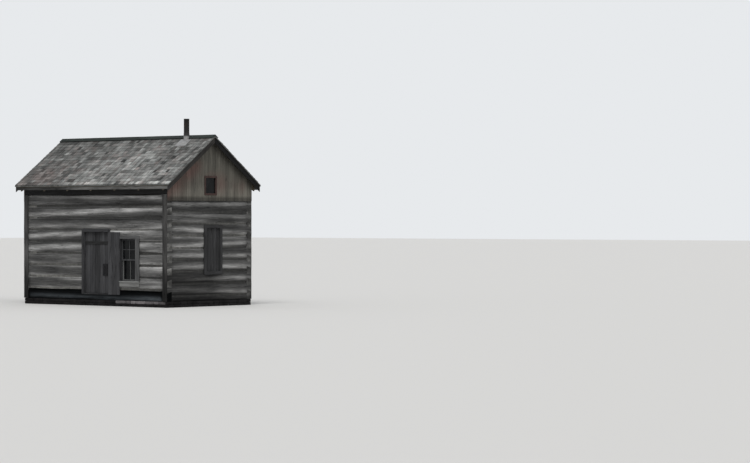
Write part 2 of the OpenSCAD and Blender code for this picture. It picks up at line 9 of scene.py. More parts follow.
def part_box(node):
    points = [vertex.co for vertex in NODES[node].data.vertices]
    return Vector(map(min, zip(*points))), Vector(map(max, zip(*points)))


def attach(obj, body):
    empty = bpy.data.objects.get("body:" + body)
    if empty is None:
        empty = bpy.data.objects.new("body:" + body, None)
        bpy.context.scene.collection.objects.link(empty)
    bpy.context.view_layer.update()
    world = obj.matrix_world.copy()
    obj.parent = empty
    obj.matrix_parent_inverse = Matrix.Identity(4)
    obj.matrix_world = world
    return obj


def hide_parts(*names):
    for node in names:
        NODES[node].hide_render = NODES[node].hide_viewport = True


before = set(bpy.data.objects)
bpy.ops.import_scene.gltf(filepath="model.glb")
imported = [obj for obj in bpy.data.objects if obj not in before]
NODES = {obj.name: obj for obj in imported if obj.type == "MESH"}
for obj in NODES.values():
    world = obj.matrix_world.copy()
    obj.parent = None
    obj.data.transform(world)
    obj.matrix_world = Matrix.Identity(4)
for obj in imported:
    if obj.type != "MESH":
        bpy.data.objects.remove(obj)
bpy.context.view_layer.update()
X, Y, Z = 0, 1, 2
PITCH = math.radians(36)
# Half the length and half the width over the log walls
REACH = (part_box("rear_logs")[1].x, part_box("right_gable_logs")[1].y)
# The tone at which a material shows its own colour
MEAN_TONE = 0.25
rng = random.Random(7)


# Materials

def shade_nodes(name):
    """A new material with its shader and the functions that add a node and link two sockets"""
    material = bpy.data.materials.new(name)
    material.use_nodes = True
    tree = material.node_tree
    shader = tree.nodes["Principled BSDF"]

    def add(kind, **values):
        """A node whose values go to its properties of that name, or else to its inputs"""
        node = tree.nodes.new("ShaderNode" + kind)
        for key, value in values.items():
            if hasattr(node, key):
                setattr(node, key, value)
            else:
                node.inputs[key.replace("_", " ")].default_value = value
        return node

    return material, shader, add, tree.links.new


def ramp(add, link, source, stops):
    """Colours between stops, each given as its place from 0 to 1 and its colour"""
    node = add("ValToRGB")
    elements = node.color_ramp.elements
    while len(elements) < len(stops):
        elements.new(0.5)
    for element, (place, value) in zip(elements, stops):
        element.position = place
        element.color = value if len(value) == 4 else (*value, 1)
    link(source, node.inputs[0])
    return node.outputs[0]


def grey(value):
    """An opaque grey"""
    return (value, value, value, 1)


def mix(add, link, kind, factor, a, b):
    """Two colours blended; each input is a number, a colour or a socket"""
    node = add("Mix", data_type="RGBA", blend_type=kind)
    for socket, value in ((node.inputs[0], factor), (node.inputs[6], a), (node.inputs[7], b)):
        if isinstance(value, (int, float, tuple)):
            socket.default_value = value
        else:
            link(value, socket)
    return node.outputs[2]


def streaks(add, link, axis, along, across, tilt=0.0, **values):
    """Noise in object coordinates, drawn out along one axis that may be tilted about X"""
    place = add("TexCoord").outputs["Object"]
    if tilt:
        turn = add("Mapping")
        turn.inputs["Rotation"].default_value = (tilt, 0, 0)
        link(place, turn.inputs["Vector"])
        place = turn.outputs[0]
    scale = [across] * 3
    scale[axis] = along
    mapping = add("Mapping")
    mapping.inputs["Scale"].default_value = scale
    link(place, mapping.inputs["Vector"])
    texture = add("TexNoise", Scale=1.0, **values)
    link(mapping.outputs[0], texture.inputs["Vector"])
    return texture.outputs[0]


def tinted(add, link, colour, parts):
    """A colour times its shading parts, which are all grey and 0.5 on average, times the piece's tone"""
    base = (*[c * 2 ** len(parts) / MEAN_TONE for c in colour], 1)
    for part in parts:
        base = mix(add, link, "MULTIPLY", 1.0, base, part)
    tone = add("Attribute", attribute_name="tone").outputs["Fac"]
    return mix(add, link, "MULTIPLY", 1.0, base, tone)


def shading(add, link, source, amount):
    """Grey from 0.5 * (1 - amount) to 0.5 * (1 + amount) for a noise that is 0.5 on average"""
    width = 0.17
    return ramp(add, link, source, [(0.5 - width, grey(0.5 * (1 - amount))),
                                    (0.5 + width, grey(0.5 * (1 + amount)))])


def wood(name, colour, axis, spread=0.4, fine=150.0, cracks=0.75, crack_scale=14.0, stain=None,
         bump=0.004, rough=0.88, shine=0.2, tilt=0.0):
    """Weathered wood with grain and checks along one axis, patches, and each piece's own tone"""
    material, shader, add, link = shade_nodes(name)
    hair = streaks(add, link, axis, fine / 28, fine, tilt, Detail=3.0, Roughness=0.7)
    grain = streaks(add, link, axis, 1.5, fine / 4.5, tilt, Detail=5.0, Roughness=0.65, Distortion=0.6)
    patch = streaks(add, link, axis, 0.8, 5.0, tilt, Detail=4.0, Roughness=0.6, Distortion=0.3)
    shades = [shading(add, link, hair, 0.5 * spread), shading(add, link, grain, spread),
              shading(add, link, patch, spread)]
    base = tinted(add, link, colour, shades)
    if stain:
        where = add("Attribute", attribute_name="stain").outputs["Fac"]
        stained = tinted(add, link, stain, [shading(add, link, grain, spread)])
        base = mix(add, link, "MIX", where, base, stained)

    contour = streaks(add, link, axis, 0.45, crack_scale, tilt, Detail=3.0, Roughness=0.45, Distortion=0.2)
    line = ramp(add, link, contour, [(0.484, grey(1.0)), (0.498, grey(0.0)), (0.502, grey(0.0)),
                                     (0.516, grey(1.0))])
    broken = ramp(add, link, streaks(add, link, axis, 0.7, 6.0, tilt, Detail=1.0),
                  [(0.44, grey(1.0)), (0.54, grey(0.0))])
    line = mix(add, link, "LIGHTEN", 1.0, line, broken)
    open_line = mix(add, link, "MIX", cracks, grey(1.0), line)
    base = mix(add, link, "MULTIPLY", 1.0, base, open_line)
    link(base, shader.inputs["Base Color"])

    relief = mix(add, link, "MULTIPLY", 1.0, mix(add, link, "MIX", 0.5, hair, grain), line)
    link_bump(add, link, shader, relief, bump)
    shader.inputs["Roughness"].default_value = rough
    shader.inputs["Specular IOR Level"].default_value = shine
    return material


def link_bump(add, link, shader, height, distance):
    """Relief from a grey pattern, as deep as the distance in metres"""
    node = add("Bump", Distance=distance, Strength=0.9)
    link(height, node.inputs["Height"])
    link(node.outputs[0], shader.inputs["Normal"])


def mottled(name, colour, scale, spread, rough=0.9, bump=0.006, metal=0.0, spots=None, shine=0.5,
            soot=None):
    """Stone, clay or metal: a mottle at two scales, spots of a second colour, soot above a height"""
    material, shader, add, link = shade_nodes(name)
    fine = streaks(add, link, X, scale * 6, scale * 6, Detail=8.0, Roughness=0.7)
    broad = streaks(add, link, X, scale, scale, Detail=3.0, Roughness=0.6)
    base = tinted(add, link, colour, [shading(add, link, fine, spread), shading(add, link, broad, spread)])
    if spots:
        where = ramp(add, link, broad, [(0.52, grey(0.0)), (0.66, grey(0.75))])
        base = mix(add, link, "MIX", where, base, (*spots, 1))
    if soot:
        height = add("SeparateXYZ")
        link(add("TexCoord").outputs["Object"], height.inputs[0])
        amount = add("MapRange", interpolation_type="SMOOTHSTEP", From_Min=soot - 0.03, From_Max=soot + 0.02)
        link(height.outputs["Z"], amount.inputs["Value"])
        base = mix(add, link, "MIX", amount.outputs[0], base, (*SOOT, 1))
    link(base, shader.inputs["Base Color"])
    link_bump(add, link, shader, fine, bump)
    shader.inputs["Roughness"].default_value = rough
    shader.inputs["Metallic"].default_value = metal
    shader.inputs["Specular IOR Level"].default_value = shine
    return material


def dusty_shaded_glass(name):
    """Old panes that let little light through, nearly black with painted shade of the dark room behind them,
    with dust in broad patches
    """
    material, shader, add, link = shade_nodes(name)
    dust = streaks(add, link, Z, 3.0, 5.0, Detail=5.0, Roughness=0.6)
    # Painted shade: the panes' colour is nearly black for the dark room behind them, lighter where dust lies
    base = ramp(add, link, dust, [(0.40, (0.002, 0.0025, 0.003)), (0.80, (0.010, 0.011, 0.011))])
    link(base, shader.inputs["Base Color"])
    link(ramp(add, link, dust, [(0.3, grey(0.10)), (0.8, grey(0.35))]), shader.inputs["Roughness"])
    shader.inputs["Specular IOR Level"].default_value = 0.10
    shader.inputs["Transmission Weight"].default_value = 0.10
    return material


def split_shingle(name, tilt):
    """Weathered shingles whose grain runs down the slope, some of them reddish"""
    return wood(name, (0.148, 0.150, 0.144), Y, cracks=0.6, crack_scale=22.0, bump=0.003,
                stain=(0.150, 0.126, 0.118), tilt=tilt)


LOG = (0.082, 0.081, 0.079)
TIMBER = (0.10, 0.085, 0.065)
SOOT = (0.016, 0.015, 0.015)
M = {
    "log_end": wood("log_end", (0.060, 0.059, 0.056), X, fine=60.0, cracks=0.35),
    # The front sill is nearly black: damp wood, and painted deep shade
    "sill": wood("sill", (0.0040, 0.0045, 0.0049), X, shine=0.03),
    # Painted shade: the wall plates are nearly black where they sit under the eave
    "plate": wood("plate", (0.014, 0.014, 0.014), X),
    "timber_front": wood("timber_front", TIMBER, Y, spread=0.25, cracks=0.3, tilt=-PITCH),
    "timber_rear": wood("timber_rear", TIMBER, Y, spread=0.25, cracks=0.3, tilt=PITCH),
    "shingle_front": split_shingle("shingle_front", -PITCH),
    "shingle_rear": split_shingle("shingle_rear", PITCH),
    "ridge": wood("ridge", (0.024, 0.030, 0.027), X, cracks=0.5),
    "eave": wood("eave", (0.110, 0.108, 0.103), X),
    "rake": wood("rake", (0.028, 0.026, 0.024), Y, tilt=-PITCH),
    # Painted shade: the rear-slope rake boards are nearly black, as the shaded underside of the overhang
    "rake_rear_painted_shade": wood("rake_rear_painted_shade", (0.005, 0.005, 0.005), Y, tilt=PITCH),
    # Painted shade: the dark board across the door, for the shadow under its head
    "dark_x": wood("dark_x", (0.030, 0.030, 0.030), X),
    "corner": wood("corner", (0.038, 0.037, 0.036), Z, spread=0.5),
    "latch": wood("latch", (0.012, 0.012, 0.013), Z, spread=0.3),
    "gable": wood("gable", (0.096, 0.091, 0.077), Z, spread=0.22, cracks=0.5,
                  stain=(0.118, 0.078, 0.067)),
    "frame_z": wood("frame_z", (0.085, 0.085, 0.083), Z, spread=0.28),
    "pale_x": wood("pale_x", (0.15, 0.15, 0.145), X, spread=0.3),
    "stone": mottled("stone", (0.072, 0.067, 0.068), 4.0, 0.35, bump=0.012, shine=0.08),
    "mortar": mottled("mortar", (0.014, 0.014, 0.015), 9.0, 0.3, shine=0.08),
    "clay": mottled("clay", (0.040, 0.039, 0.036), 9.0, 0.35, bump=0.010),
    "iron": mottled("iron", (0.010, 0.0095, 0.0095), 6.0, 0.4, rough=0.62, bump=0.001, metal=0.5,
                    spots=(0.035, 0.018, 0.012)),
    "sheet": mottled("sheet", (0.27, 0.27, 0.27), 8.0, 0.25, rough=0.5, bump=0.001, metal=0.3,
                     spots=(0.20, 0.19, 0.18), soot=4.95),
    "glass": dusty_shaded_glass("glass"),
}
# Woods that run two ways, each with the letters of its axes
for name, axes, colour, look in [
    ("log", "xy", LOG, {}),
    ("timber", "xy", TIMBER, {"spread": 0.25, "cracks": 0.3}),
    ("dark", "yz", (0.034, 0.034, 0.035), {"spread": 0.3}),
    ("grey", "xz", (0.042, 0.042, 0.044), {"spread": 0.28}),
    ("cover", "xz", (0.062, 0.062, 0.062), {"spread": 0.35}),
    ("red", "yz", (0.042, 0.026, 0.023), {"spread": 0.3}),
]:
    for letter in axes:
        M[f"{name}_{letter}"] = wood(f"{name}_{letter}", colour, "xyz".index(letter), **look)


# Mesh helpers

def node_mesh(name):
    """The solids of a CAD node with their flat faces whole again"""
    bm = bmesh.new()
    bm.from_mesh(NODES[name].data)
    bmesh.ops.remove_doubles(bm, verts=bm.verts[:], dist=2e-5)
    bmesh.ops.dissolve_limit(bm, angle_limit=math.radians(0.5), verts=bm.verts[:], edges=bm.edges[:])
    return bm


def copy_faces(faces):
    """Some faces as a mesh of their own"""
    bm = bmesh.new()
    made = {}
    for face in faces:
        for v in face.verts:
            if v not in made:
                made[v] = bm.verts.new(v.co)
        bm.faces.new([made[v] for v in face.verts])
    bm.normal_update()
    return bm


def solids(bm):
    """The separate solids of a mesh, each as a mesh of its own, in the same order on each run"""
    left = set(bm.faces)
    parts = []
    for first in bm.faces:
        if first not in left:
            continue
        left.discard(first)
        stack = [first]
        island = [first]
        while stack:
            for edge in stack.pop().edges:
                for face in edge.link_faces:
                    if face in left:
                        left.discard(face)
                        island.append(face)
                        stack.append(face)
        parts.append(copy_faces(island))
    bm.free()
    parts.sort(key=lambda part: [round(value, 3) for corner in extent(part) for value in corner])
    return parts


def extent(bm):
    """The lowest and highest corner of a mesh's box"""
    low = Vector([min(v.co[i] for v in bm.verts) for i in range(3)])
    high = Vector([max(v.co[i] for v in bm.verts) for i in range(3)])
    return low, high


def unit(axis):
    """The direction of an axis"""
    return Vector([1.0 if i == axis else 0.0 for i in range(3)])


def score(bm, axis, places):
    """Cuts an edge loop into the mesh at each place along an axis"""
    for place in places:
        bmesh.ops.bisect_plane(bm, geom=bm.verts[:] + bm.edges[:] + bm.faces[:], dist=1e-6,
                               plane_co=unit(axis) * place, plane_no=unit(axis))


def steps(low, high, step, jitter):
    """Places between low and high, about a step apart, each moved by up to jitter times the step"""
    count = max(1, round((high - low) / step))
    width = (high - low) / count
    return [low + width * (i + rng.uniform(-jitter, jitter)) for i in range(1, count)]


def slab(bm, axis, low, high):
    """The part of a closed mesh between two places along an axis, closed again"""
    part = bm.copy()
    for place, normal in ((low, -unit(axis)), (high, unit(axis))):
        cut = bmesh.ops.bisect_plane(part, geom=part.verts[:] + part.edges[:] + part.faces[:], dist=1e-6,
                                     plane_co=unit(axis) * place, plane_no=normal, clear_outer=True)
        edges = [e for e in cut["geom_cut"] if isinstance(e, bmesh.types.BMEdge)]
        if edges:
            bmesh.ops.holes_fill(part, edges=edges)
    return part


def bumpy(point, scale, seed):
    """Smooth noise from about -1 to 1 that changes faster along an axis where its scale is larger"""
    return noise.noise(Vector((point[0] * scale[0] + seed, point[1] * scale[1] + seed,
                               point[2] * scale[2])))


def smooth(value):
    """A soft rise from 0 at 0 to 1 at 1"""
    value = max(0.0, min(1.0, value))
    return value * value * (3 - 2 * value)


def hill(value, middle, width):
    """1 at the middle, falling softly to both sides"""
    return math.exp(-((value - middle) / width) ** 2)


class Piece:
    """Meshes gathered into one object that rides on a body and stands for CAD nodes"""

    def __init__(self, name, materials, body="house"):
        self.name = name
        self.materials = materials
        self.body = body
        self.mesh = bmesh.new()
        self.tone = self.mesh.verts.layers.float.new("tone")
        self.stain = self.mesh.verts.layers.float.new("stain")

    def add(self, bm, tone=MEAN_TONE, material=0, stain=0.0):
        """Takes over a mesh, whose own tones, stains and second material come first"""
        tones = bm.verts.layers.float.get("tone")
        stains = bm.verts.layers.float.get("stain")
        made = {}
        for v in bm.verts:
            made[v] = self.mesh.verts.new(v.co)
            made[v][self.tone] = v[tones] if tones else tone
            made[v][self.stain] = v[stains] if stains else stain
        for face in bm.faces:
            new = self.mesh.faces.new([made[v] for v in face.verts])
            new.material_index = max(material, face.material_index)
        bm.free()

    def finish(self, replaces=(), angle=35, bevel=0.0):
        """Makes the object and ties it to its body, to its CAD nodes and to its material slot"""
        bmesh.ops.recalc_face_normals(self.mesh, faces=self.mesh.faces[:])
        data = bpy.data.meshes.new(self.name)
        self.mesh.to_mesh(data)
        self.mesh.free()
        for material in self.materials:
            data.materials.append(M[material])
        data.shade_smooth()
        data.set_sharp_from_angle(angle=math.radians(angle))
        piece = bpy.data.objects.new(self.name, data)
        bpy.context.scene.collection.objects.link(piece)
        if bevel:
            cut = piece.modifiers.new("Bevel", "BEVEL")
            cut.width = bevel
            cut.segments = 1
            cut.limit_method = "ANGLE"
            cut.angle_limit = math.radians(50)
        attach(piece, self.body)
        if replaces:
            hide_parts(*replaces)


def any_tone(spread=0.05):
    """A tone near the mean, for one board"""
    return MEAN_TONE + rng.uniform(-spread, spread)


# Log walls

# The pale bands of the walls in the photo, part bleaching and part painted highlight on the logs' upper
# sides, where they catch the light: height at the wall's low and high end, strength at each
FRONT_BANDS = [(0.47, 0.54, 1.2, 0.6), (0.86, 0.75, 1.5, 0.0), (1.22, 1.13, 0.6, 0.4),
               (1.40, 1.22, 0.0, 0.4), (1.48, 1.58, 0.3, 0.2), (1.65, 1.87, 1.1, 0.2),
               (2.01, 2.30, 1.0, 0.9), (2.30, 2.36, 0.7, 0.6), (2.65, 2.83, 1.0, 1.4),
               (2.99, 2.95, 0.3, 0.0), (3.24, 3.15, 0.8, 1.2)]
GABLE_BANDS = [(0.53, 0.38, 0.6, 0.7), (0.82, 0.79, 0.1, 0.8), (1.15, 1.13, 0.9, 1.0),
               (1.47, 1.46, 1.1, 0.9), (1.72, 1.86, 1.1, 1.1), (2.05, 1.98, 0.7, 0.3),
               (2.26, 2.08, 1.1, 1.1), (2.48, 2.40, 0.7, 0.4), (2.67, 2.61, 0.7, 0.6),
               (2.95, 3.00, 1.0, 0.8)]
SILL_BANDS = [(0.26, 0.22, 1.6, 9.0)]
LOG_COURSE = 0.345
# Half the height of a pale band, and how far it wanders up and down
BAND_REACH = 0.065
BAND_WAVE = 0.03
# The length of a log's head in the corner joint, and the palest tone of any log but the front sill
HEAD_LENGTH = 0.19
PALEST = 0.85


def other_bands(first):
    """Pale bands of bleaching and painted highlight for a wall that the photo doesn't show, one on each log
    """
    bands = []
    for k in range(9):
        height = first + LOG_COURSE * k + rng.uniform(-0.1, 0.1)
        strength = rng.uniform(0.5, 1.1)
        other_height = height + rng.uniform(-0.06, 0.06)
        bands.append((height, other_height, strength, strength * rng.uniform(0.6, 1.2)))
    return bands


def bleach_and_highlight(point, bands, along):
    """How pale the wood at a point is from bleaching and painted highlight: 0 between the bands, most in the
    middle of a strong one
    """
    wave = BAND_WAVE * bumpy(point, (0.6, 0.6, 2.0), 70)
    part = (point[along] / REACH[along] + 1) / 2
    most = 0.0
    for low, high, strength_low, strength_high in bands:
        height = low + (high - low) * part + wave
        strength = strength_low + (strength_high - strength_low) * part
        most = max(most, strength * hill(point.z, height, BAND_REACH))
    return most


def shade_of_gable(point):
    """The right gable wall is darker low down, above all towards the front corner, and near its top; the
    darkening at its foot is painted shade
    """
    front = 1 - smooth((point.y + 0.1) / 0.9)
    low = 1 - smooth((point.z - 0.98) / 0.2)
    # Painted shade at the foot of the wall
    foot = 1 - smooth((point.z - 0.20) / 0.25)
    top = smooth((point.z - 2.3) / 0.2)
    return (1 - 0.60 * low * front) * (1 - 0.45 * foot) * (1 - 0.25 * top)


def log_tone(tone, point, along, bands, free, patches):
    """The tone of a log at a point, with weaker bands on its head, where free is 0"""
    if bands is GABLE_BANDS:
        patches *= shade_of_gable(point)
    if bands is FRONT_BANDS:
        patches *= 1 - 0.5 * (1 - free) * (1 - smooth((point.z - 0.85) / 0.3))
    fade = free if bands is SILL_BANDS else 0.5 + 0.5 * free
    tone *= 0.45 + 1.9 * bleach_and_highlight(point, bands, along) * fade
    tone *= patches
    return tone if bands is SILL_BANDS else min(PALEST, tone)


def hew(bm, along, seed, tone, bands):
    """Gives one CAD log rolled edges, axe-hewn faces, a wandering top and bottom and pale bands of bleaching
    and painted highlight
    """
    across = 1 - along
    low, high = extent(bm)
    middle = (low + high) / 2
    half = (high - low) / 2
    score(bm, along, steps(low[along], high[along], 0.07, 0.3))
    score(bm, Z, steps(low.z, high.z, half.z / 5, 0.15))
    layer = bm.verts.layers.float.new("tone")
    wandering = 0.78
    for v in bm.verts:
        point = v.co.copy()
        rise = (point.z - middle.z) / half.z
        out = (point[across] - middle[across]) / half[across]
        free = smooth((REACH[along] - HEAD_LENGTH - abs(point[along])) / 0.12)
        here = (point[along], out * 0.4, rise * 0.4)
        if abs(out) > 0.99:
            roll = 0.020 * rise ** 2 + 0.016 * abs(rise) ** 5
            dent = 0.012 * bumpy(here, (1.3, 1.1, 3.0), seed + 9)
            nick = 0.007 * bumpy((point[along], point.z, out), (9.0, 7.0, 3.0), seed + 21)
            depth = max(0.0, 0.006 + roll + dent + nick) * (0.2 + 0.8 * free)
            v.co[across] -= math.copysign(depth, out)
        if abs(rise) > wandering:
            bow = max(0.0, 0.012 + 0.018 * bumpy((point[along], rise, 0), (0.8, 1.0, 1.0), seed + 40))
            v.co.z -= math.copysign(bow * free * min(1.0, (abs(rise) - wandering) / 0.2), rise)
        patches = 1 + 0.4 * bumpy(here, (0.8, 0.8, 1.0), seed + 60)
        v[layer] = log_tone(tone, point, along, bands, free, patches)
    for face in bm.faces:
        if abs(face.normal[along]) > 0.9:
            face.material_index = 1
    return bm


def log_wall(node, along, bands, tone=MEAN_TONE, materials=None):
    """The logs of one CAD node, hewn"""
    piece = Piece(node + "_hewn", materials or [("log_x", "log_y")[along], "log_end"])
    for part in solids(node_mesh(node)):
        piece.add(hew(part, along, rng.uniform(0, 90), tone * rng.uniform(0.85, 1.15), bands))
    piece.finish([node], angle=40)


rear_bands = other_bands(0.33)
left_bands = other_bands(0.15)
# The front sill log is nearly black, damp wood with painted deep shade
log_wall("front_sill_log", X, SILL_BANDS, materials=["sill", "sill"])
log_wall("front_logs_left", X, FRONT_BANDS, tone=0.40)
log_wall("front_logs_middle", X, FRONT_BANDS)
log_wall("front_logs_right", X, FRONT_BANDS, tone=0.86)
log_wall("front_logs_top", X, FRONT_BANDS, tone=0.34)
log_wall("rear_logs", X, rear_bands, tone=0.32)
log_wall("right_gable_logs", Y, GABLE_BANDS, tone=0.33)
log_wall("left_gable_logs", Y, left_bands, tone=0.32)


def chinking(node, along, bands):
    """Rough daub pressed between the logs, reaching in behind their edges"""
    lap = 0.032
    bulge = 0.006
    left_end = -2.5
    piece = Piece(node + "_daub", ["clay"])
    for part in solids(node_mesh(node)):
        low, high = extent(part)
        here = along
        if high[1 - along] - low[1 - along] > high[along] - low[along]:
            here = 1 - along
        side = 1 - here
        score(part, here, steps(low[here], high[here], 0.05, 0.35))
        score(part, Z, [(low.z + high.z) / 2])
        middle = (low + high) / 2
        for v in part.verts:
            inside = abs(v.co.z - middle.z) < 0.004
            if abs(v.co[side] - middle[side]) > 0.9 * (high[side] - low[side]) / 2:
                push = bulge * bumpy(v.co, (7.0, 7.0, 9.0), 3) + (bulge if inside else 0)
                v.co[side] += math.copysign(push, v.co[side] - middle[side])
            if not inside:
                v.co.z += math.copysign(lap, v.co.z - middle.z)
        layer = part.verts.layers.float.new("tone")
        for v in part.verts:
            own = left_bands if v.co.x < left_end else bands
            # Pale bands as on the logs, part bleaching and part painted highlight
            v[layer] = MEAN_TONE * (0.5 + 2.8 * bleach_and_highlight(v.co, own, along))
        piece.add(part)
    piece.finish([node])


chinking("front_chinking", X, FRONT_BANDS)
chinking("rear_chinking", X, rear_bands)
chinking("gable_chinking", Y, GABLE_BANDS)


# Boards

def plank_bounds(places, gap):
    """Low and high side of each plank between places, with a gap between two planks"""
    last = len(places) - 2
    for i, (low, high) in enumerate(zip(places, places[1:])):
        yield low + (gap / 2 if i else -0.001), high - (gap / 2 if i < last else -0.001)


def planks(node, axis, width, material, gap=0.005, face_axis=None, edges=None, paint=None):
    """Splits a CAD panel into planks along an axis, each a little in or out and of its own tone"""
    piece = Piece(node + "_planks", [material])
    whole = node_mesh(node)
    low, high = extent(whole)
    places = [low[axis], *(edges or steps(low[axis], high[axis], width, 0.12)), high[axis]]
    for start, end in plank_bounds(places, gap):
        part = slab(whole, axis, start, end)
        if face_axis is not None:
            middle = (low[face_axis] + high[face_axis]) / 2
            shift = rng.uniform(0, 0.003)
            for v in part.verts:
                v.co[face_axis] -= math.copysign(shift, v.co[face_axis] - middle)
        tone = any_tone()
        if paint:
            paint(part, tone)
        piece.add(part, tone)
    whole.free()
    piece.finish([node], bevel=0.002)


def board(node, materials, axis, wear=0.004, shade=None):
    """A CAD board along an axis, with worn edges, wandering a little along its length"""
    piece = Piece(node + "_worn", materials)
    for part in solids(node_mesh(node)):
        low, high = extent(part)
        if len(materials) > 1:
            turn_heads(part, (low.z + high.z) / 2)
        score(part, axis, steps(low[axis], high[axis], 0.12, 0.3))
        middle = (low + high) / 2
        seed = rng.uniform(0, 50)
        for v in part.verts:
            for i in (X, Y, Z):
                if i != axis and high[i] - low[i] > 0.012:
                    move = wear * (0.5 + 0.5 * bumpy(v.co, (2.1, 2.1, 2.1), seed + 7 * i))
                    v.co[i] -= math.copysign(move, v.co[i] - middle[i])
        tone = any_tone(0.06)
        if shade:
            layer = part.verts.layers.float.new("tone")
            for v in part.verts:
                v[layer] = tone * shade(v.co)
        piece.add(part, tone)
    piece.finish([node], bevel=0.0025)


def turn_heads(part, middle):
    """Gives the head and the sill of a frame the second material, whose grain runs across"""
    head = min(v.co.z for v in part.verts if v.co.z > middle)
    sill = max(v.co.z for v in part.verts if v.co.z < middle)
    score(part, Z, [sill, head])
    for face in part.faces:
        if not sill < face.calc_center_median().z < head:
            face.material_index = 1


# Width and foot of the gable boards, the roof's underside below the ridge, the end of the old paint
GABLE_BOARD = 0.19
GABLE_FOOT = 3.12
UNDER_RIDGE = 4.79
PAINT_TOP = 4.35


def gable_paint(part, tone):
    """Old red paint left along the front roof edge and beside the window, bare grey wood low down, and
    painted shade along the boards' foot
    """
    top = extent(part)[1].z
    near_foot = [3.13, 3.17, 3.21]
    score(part, Z, near_foot + steps(3.25, top, 0.10, 0.2))
    tones = part.verts.layers.float.new("tone")
    stains = part.verts.layers.float.new("stain")
    for v in part.verts:
        y, z = v.co.y, v.co.z
        below_roof = (UNDER_RIDGE - z) * math.cos(PITCH) - abs(y) * math.sin(PITCH)
        left = hill(below_roof, 0.12, 0.32) * smooth((-0.25 - y) / 0.3) * smooth((PAINT_TOP - z) / 0.4)
        right = hill(y, 0.45, 0.2) * hill(z, 3.55, 0.25) + 0.7 * hill(y, 1.2, 0.25) * hill(z, 3.5, 0.2)
        over_window = 0.6 * hill(y, 0.0, 0.25) * hill(z, 3.82, 0.07)
        worn = 0.8 + 0.8 * bumpy(v.co, (3.0, 3.0, 1.6), 17)
        v[stains] = max(0.0, min(1.0, (1.3 * left + right + over_window) * worn))
        bare = 0.88 + 0.35 * smooth((3.55 - z) / 0.3)
        # Painted shade: the boards darken in their lowest 0.1 m, above their foot
        v[tones] = tone * bare * (0.45 + 0.55 * smooth((z - GABLE_FOOT) / 0.1))


def gable_edges():
    """Places of the plank edges in the right gable, two of them at the sides of its window"""
    side = 0.23
    low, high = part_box("right_gable_boards")
    return (steps(low.y, -side, GABLE_BOARD, 0.12) + [-side] + steps(-side, side, 0.155, 0.1)
            + [side] + steps(side, high.y, GABLE_BOARD, 0.12))


planks("right_gable_boards", Y, GABLE_BOARD, "gable", edges=gable_edges(),
       paint=gable_paint)
planks("left_gable_boards", Y, GABLE_BOARD, "gable", paint=gable_paint)
planks("panel_boards", X, 0.155, "grey_z", face_axis=Y)
planks("side_window_boards", Y, 0.115, "dark_z", face_axis=X, gap=0.009)
planks("floor_boards", Y, 0.20, "timber_x")
planks("loft_boards", Y, 0.22, "timber_x")
planks("front_roof_boards", Y, 0.18, "timber_x", gap=0.007)
planks("rear_roof_boards", Y, 0.18, "timber_x", gap=0.007)


def shade_of_eave(place):
    """The eave boards are dark towards the left end"""
    return 0.3 + 0.75 * smooth((place.x + 1.3) / 0.9)


board("eave_boards", ["eave"], X, shade=shade_of_eave)
for name, materials, slot, axis, wear in [
    ("door_frame", ["grey_z", "grey_x"], "grey_board", Z, 0.004),
    ("door_casing", ["grey_z", "grey_x"], "grey_board", Z, 0.004),
    ("window_frame", ["grey_z", "grey_x"], "grey_board", Z, 0.004),
    ("window_casing", ["cover_z", "cover_x"], "grey_board", Z, 0.004),
    ("window_sill", ["pale_x"], "pale_board", X, 0.004),
    ("window_upper_sash", ["grey_z"], "grey_board", Z, 0.002),
    ("window_lower_sash", ["frame_z"], "grey_board", Z, 0.002),
    ("side_window_frame", ["dark_z", "dark_y"], "dark_board", Z, 0.004),
    ("attic_window_frame", ["red_z", "red_y"], "red_trim", Z, 0.004),
    # The plates' near-black colour is painted shade under the eave
    ("wall_plates", ["plate"], "log", X, 0.004),
    ("ridge_boards", ["ridge"], "dark_board", X, 0.004),
]:
    board(name, materials, axis, wear)


def rake_boards():
    """Boards along the gable edges: lighter on the front slope, nearly black with painted shade on the rear
    one
    """
    piece = Piece("rake_boards_worn", ["rake", "rake_rear_painted_shade"])
    for part in solids(node_mesh("rake_boards")):
        low, high = extent(part)
        outer = max(abs(low.x), abs(high.x)) - 0.001
        score(part, Y, steps(low.y, high.y, 0.12, 0.3))
        seed = rng.uniform(0, 50)
        for v in part.verts:
            if abs(v.co.x) > outer:
                v.co.x -= math.copysign(0.003 * (1 + bumpy(v.co, (2.0, 2.0, 2.0), seed)), v.co.x)
        piece.add(part, any_tone(), 0 if low.y + high.y < 0 else 1)
    piece.finish(["rake_boards"], bevel=0.0025)


rake_boards()


def corner_boards():
    """Old upright boards with split, uneven lower ends"""
    piece = Piece("corner_boards_ragged", ["corner"])
    for part in solids(node_mesh("corner_boards")):
        low, high = extent(part)
        middle = (low.x + high.x) / 2
        outer = max(abs(low.y), abs(high.y)) - 0.001
        score(part, X, steps(low.x, high.x, 0.022, 0.3))
        score(part, Z, steps(low.z, high.z, 0.10, 0.3))
        layer = part.verts.layers.float.new("tone")
        for v in part.verts:
            if v.co.z < low.z + 0.001:
                v.co.z += 0.035 * abs(bumpy(v.co, (30.0, 1.0, 1.0), 4))
            if min(v.co.x - low.x, high.x - v.co.x) < 0.001:
                v.co.x += math.copysign(0.006 * (1 + bumpy(v.co, (1.0, 1.0, 4.0), 8)), middle - v.co.x)
            if abs(v.co.y) > outer:
                v.co.y -= math.copysign(0.004 * (1 + bumpy(v.co, (9.0, 1.0, 1.2), 8)), v.co.y)
            dim = 0.3 + 0.9 * smooth((v.co.z - 0.3) / 1.2)
            v[layer] = MEAN_TONE * dim * (1 + 0.4 * bumpy(v.co, (3.0, 1.0, 2.0), 30))
        piece.add(part)
    piece.finish(["corner_boards"])


corner_boards()


# The door

